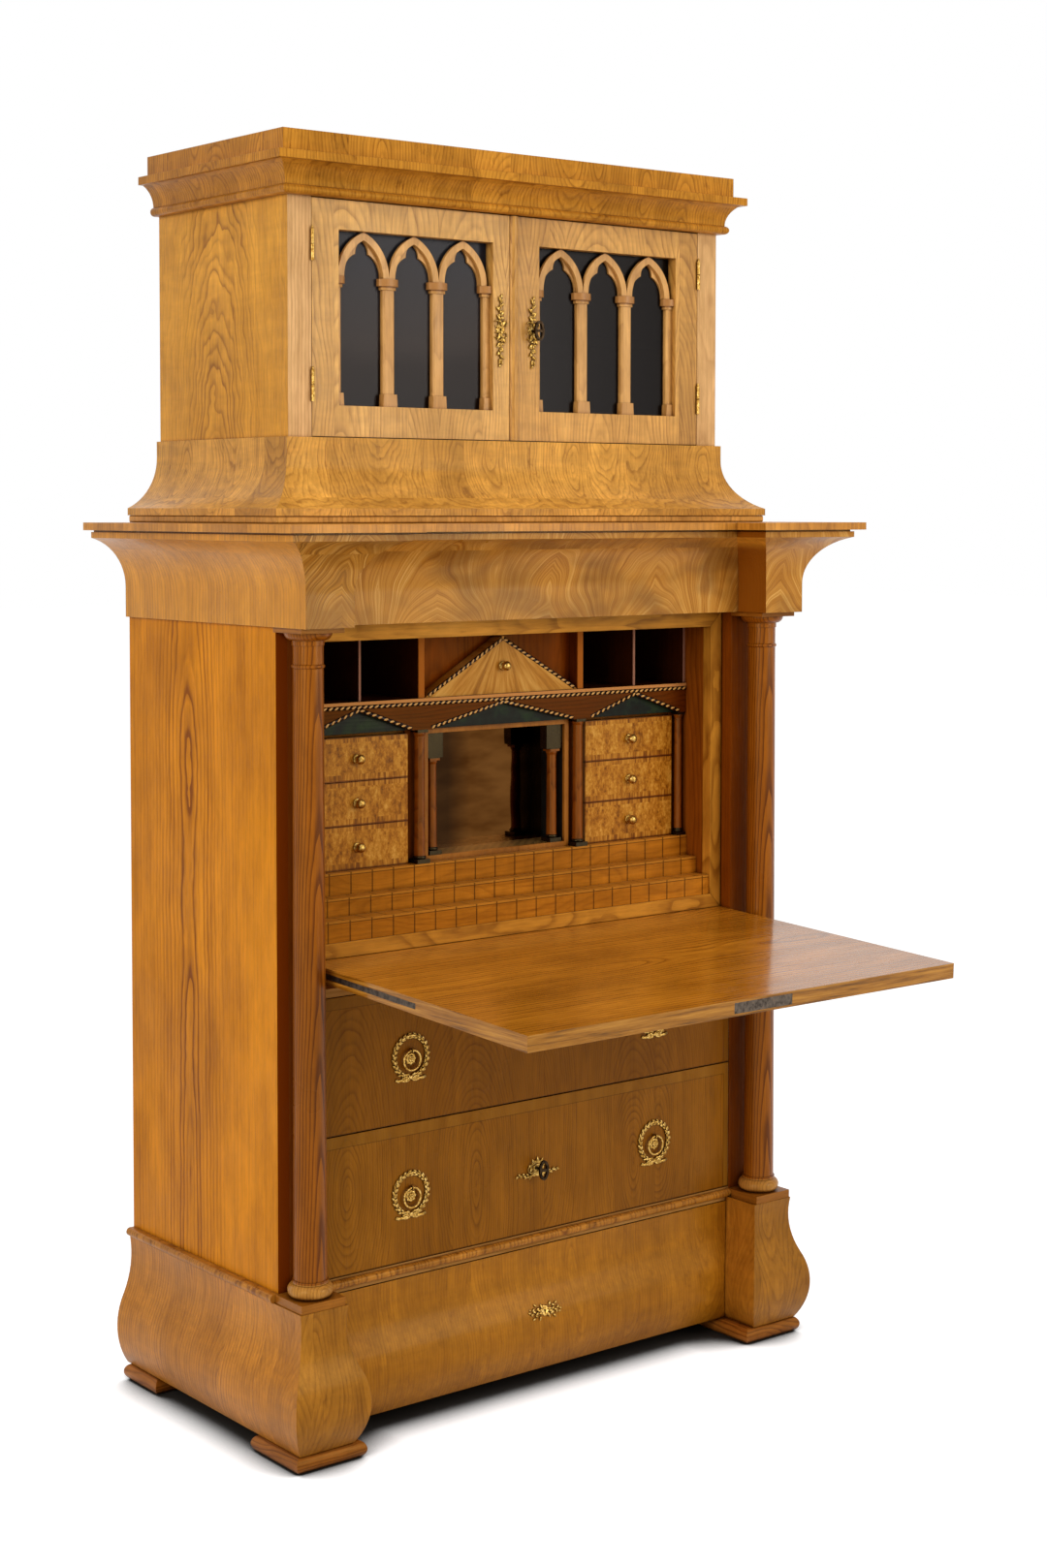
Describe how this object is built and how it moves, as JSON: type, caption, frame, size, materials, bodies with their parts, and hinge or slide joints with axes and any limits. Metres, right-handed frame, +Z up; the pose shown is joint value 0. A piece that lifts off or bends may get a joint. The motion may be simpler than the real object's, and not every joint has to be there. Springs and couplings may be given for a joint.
{
  "type": "display cabinet desk",
  "caption": "Fall-front writing cabinet on an ogee plinth, with free columns, drawers, a fitted desk inside, and a glazed case above with pointed-arch tracery doors.",
  "frame": {"origin": "middle of the footprint on the floor, with the fall front open as it rests", "axes": "+Z up, +X to the right seen from the front, the front faces -Y"},
  "size_m": [1.224, 0.9966, 2.1025],
  "materials": {
    "case_ash": "polished ash, orange gold",
    "foot_ash": "polished ash, brown",
    "column_ash": "polished ash",
    "shaded_stile": "dark red brown polish",
    "frame_ash": "polished ash",
    "crotch_ash": "feathered veneer, polished",
    "upper_ash": "polished ash, pale",
    "door_ash": "polished ash, pale",
    "tracery_ash": "polished ash, pale",
    "drawer_ash": "cross-banded veneer, darker",
    "flap_ash": "polished ash",
    "desk_cherry": "polished cherry, red brown",
    "column_cherry": "polished cherry, red brown",
    "tread_veneer": "polished veneer with fine inlaid lines",
    "light_frame": "polished, light",
    "dark_tympanum": "stained blue green, near black",
    "drawer_burl": "burl veneer",
    "inner_pine": "plain unpolished",
    "brass": "stamped and gilt",
    "iron": "worn",
    "key_iron": "worn, dark",
    "mirror_glass": "old plate",
    "door_glass": "clear pane"
  },
  "bodies": {
    "cabinet": {"feet": "foot_ash", "plinth_sides": "case_ash", "corner_blocks": "case_ash", "column_blocks": "case_ash", "front_columns": "column_ash", "plinth_mouldings": "case_ash", "lower_sides": "case_ash", "front_stiles": "shaded_stile", "inner_boards": "inner_pine", "back_boards": "inner_pine", "desk_frame": "frame_ash", "desk_lining": "desk_cherry", "desk_steps": "tread_veneer", "small_drawer_cases": "desk_cherry", "niche_frame": "light_frame", "niche_mirror": "mirror_glass", "desk_columns": "column_cherry", "gable_apron": "desk_cherry", "tympana": "dark_tympanum", "pigeonhole_unit": "desk_cherry", "frieze": "crotch_ash", "top_board": "case_ash", "cove_skirt": "crotch_ash", "upper_sides": "case_ash", "upper_boards": "upper_ash", "crown_moulding": "upper_ash", "attic": "upper_ash", "case_hinges": "brass"},
    "fall_front": {"fall_front": "flap_ash", "flap_ironwork": "iron"},
    "plinth_drawer": {"plinth_drawer_front": "drawer_ash", "plinth_drawer_box": "inner_pine", "plinth_drawer_escutcheon": "brass"},
    "lower_drawer": {"lower_drawer_front": "drawer_ash", "lower_drawer_box": "inner_pine", "lower_drawer_brasses": "brass"},
    "drawer_key": {"drawer_key": "key_iron"},
    "upper_drawer": {"upper_drawer_front": "drawer_ash", "upper_drawer_box": "inner_pine", "upper_drawer_brasses": "brass"},
    "pediment_drawer": {"pediment_drawer": "drawer_burl"},
    "cabinet_key": {"cabinet_key": "key_iron"},
    "lower_left_ring": {"lower_left_ring": "brass"},
    "lower_right_ring": {"lower_right_ring": "brass"},
    "upper_left_ring": {"upper_left_ring": "brass"},
    "upper_right_ring": {"upper_right_ring": "brass"},
    "small_drawer_left_1": {"small_drawer_left_1": "drawer_burl"},
    "small_drawer_left_2": {"small_drawer_left_2": "drawer_burl"},
    "small_drawer_left_3": {"small_drawer_left_3": "drawer_burl"},
    "left_door": {"left_door_frame": "door_ash", "left_door_tracery": "tracery_ash", "left_door_glass": "door_glass", "left_door_brasses": "brass"},
    "small_drawer_right_1": {"small_drawer_right_1": "drawer_burl"},
    "small_drawer_right_2": {"small_drawer_right_2": "drawer_burl"},
    "small_drawer_right_3": {"small_drawer_right_3": "drawer_burl"},
    "right_door": {"right_door_frame": "door_ash", "right_door_tracery": "tracery_ash", "right_door_glass": "door_glass", "right_door_brasses": "brass"}
  },
  "joints": [
    {"name": "fall_front_hinge", "type": "hinge", "parent": "cabinet", "child": "fall_front", "pos_m": [0, 0.05082, 0.76693], "axis": [1, 0, 0], "range_deg": [-92.2, 0]},
    {"name": "plinth_drawer_slide", "type": "slide", "parent": "cabinet", "child": "plinth_drawer", "axis": [0, -1, 0], "range_m": [0, 0.36]},
    {"name": "lower_drawer_slide", "type": "slide", "parent": "cabinet", "child": "lower_drawer", "axis": [0, -1, 0], "range_m": [0, 0.36]},
    {"name": "upper_drawer_slide", "type": "slide", "parent": "cabinet", "child": "upper_drawer", "axis": [0, -1, 0], "range_m": [0, 0.36]},
    {"name": "pediment_drawer_slide", "type": "slide", "parent": "cabinet", "child": "pediment_drawer", "axis": [0, -1, 0], "range_m": [0, 0.14]},
    {"name": "lower_left_ring_swing", "type": "hinge", "parent": "lower_drawer", "child": "lower_left_ring", "pos_m": [-0.267, 0.03282, 0.39024], "axis": [-1, 0, 0], "range_deg": [0, 80]},
    {"name": "lower_right_ring_swing", "type": "hinge", "parent": "lower_drawer", "child": "lower_right_ring", "pos_m": [0.267, 0.03282, 0.39024], "axis": [-1, 0, 0], "range_deg": [0, 80]},
    {"name": "upper_left_ring_swing", "type": "hinge", "parent": "upper_drawer", "child": "upper_left_ring", "pos_m": [-0.267, 0.03282, 0.61845], "axis": [-1, 0, 0], "range_deg": [0, 80]},
    {"name": "upper_right_ring_swing", "type": "hinge", "parent": "upper_drawer", "child": "upper_right_ring", "pos_m": [0.267, 0.03282, 0.61845], "axis": [-1, 0, 0], "range_deg": [0, 80]},
    {"name": "small_drawer_left_1_slide", "type": "slide", "parent": "cabinet", "child": "small_drawer_left_1", "axis": [0, -1, 0], "range_m": [0, 0.2]},
    {"name": "small_drawer_left_2_slide", "type": "slide", "parent": "cabinet", "child": "small_drawer_left_2", "axis": [0, -1, 0], "range_m": [0, 0.2]},
    {"name": "small_drawer_left_3_slide", "type": "slide", "parent": "cabinet", "child": "small_drawer_left_3", "axis": [0, -1, 0], "range_m": [0, 0.2]},
    {"name": "left_door_hinge", "type": "hinge", "parent": "cabinet", "child": "left_door", "pos_m": [-0.4165, 0.09412, 1.6195], "axis": [0, 0, -1], "range_deg": [0, 110]},
    {"name": "small_drawer_right_1_slide", "type": "slide", "parent": "cabinet", "child": "small_drawer_right_1", "axis": [0, -1, 0], "range_m": [0, 0.2]},
    {"name": "small_drawer_right_2_slide", "type": "slide", "parent": "cabinet", "child": "small_drawer_right_2", "axis": [0, -1, 0], "range_m": [0, 0.2]},
    {"name": "small_drawer_right_3_slide", "type": "slide", "parent": "cabinet", "child": "small_drawer_right_3", "axis": [0, -1, 0], "range_m": [0, 0.2]},
    {"name": "right_door_hinge", "type": "hinge", "parent": "cabinet", "child": "right_door", "pos_m": [0.4165, 0.09412, 1.6195], "axis": [0, 0, 1], "range_deg": [0, 110]},
    {"name": "drawer_key_turn", "type": "hinge", "parent": "lower_drawer", "child": "drawer_key", "pos_m": [0, 0.03832, 0.37674], "axis": [0, -1, 0], "range_deg": [0, 90]},
    {"name": "cabinet_key_turn", "type": "hinge", "parent": "right_door", "child": "cabinet_key", "pos_m": [0.035, 0.09732, 1.8085], "axis": [0, -1, 0], "range_deg": [0, 90]}
  ]
}
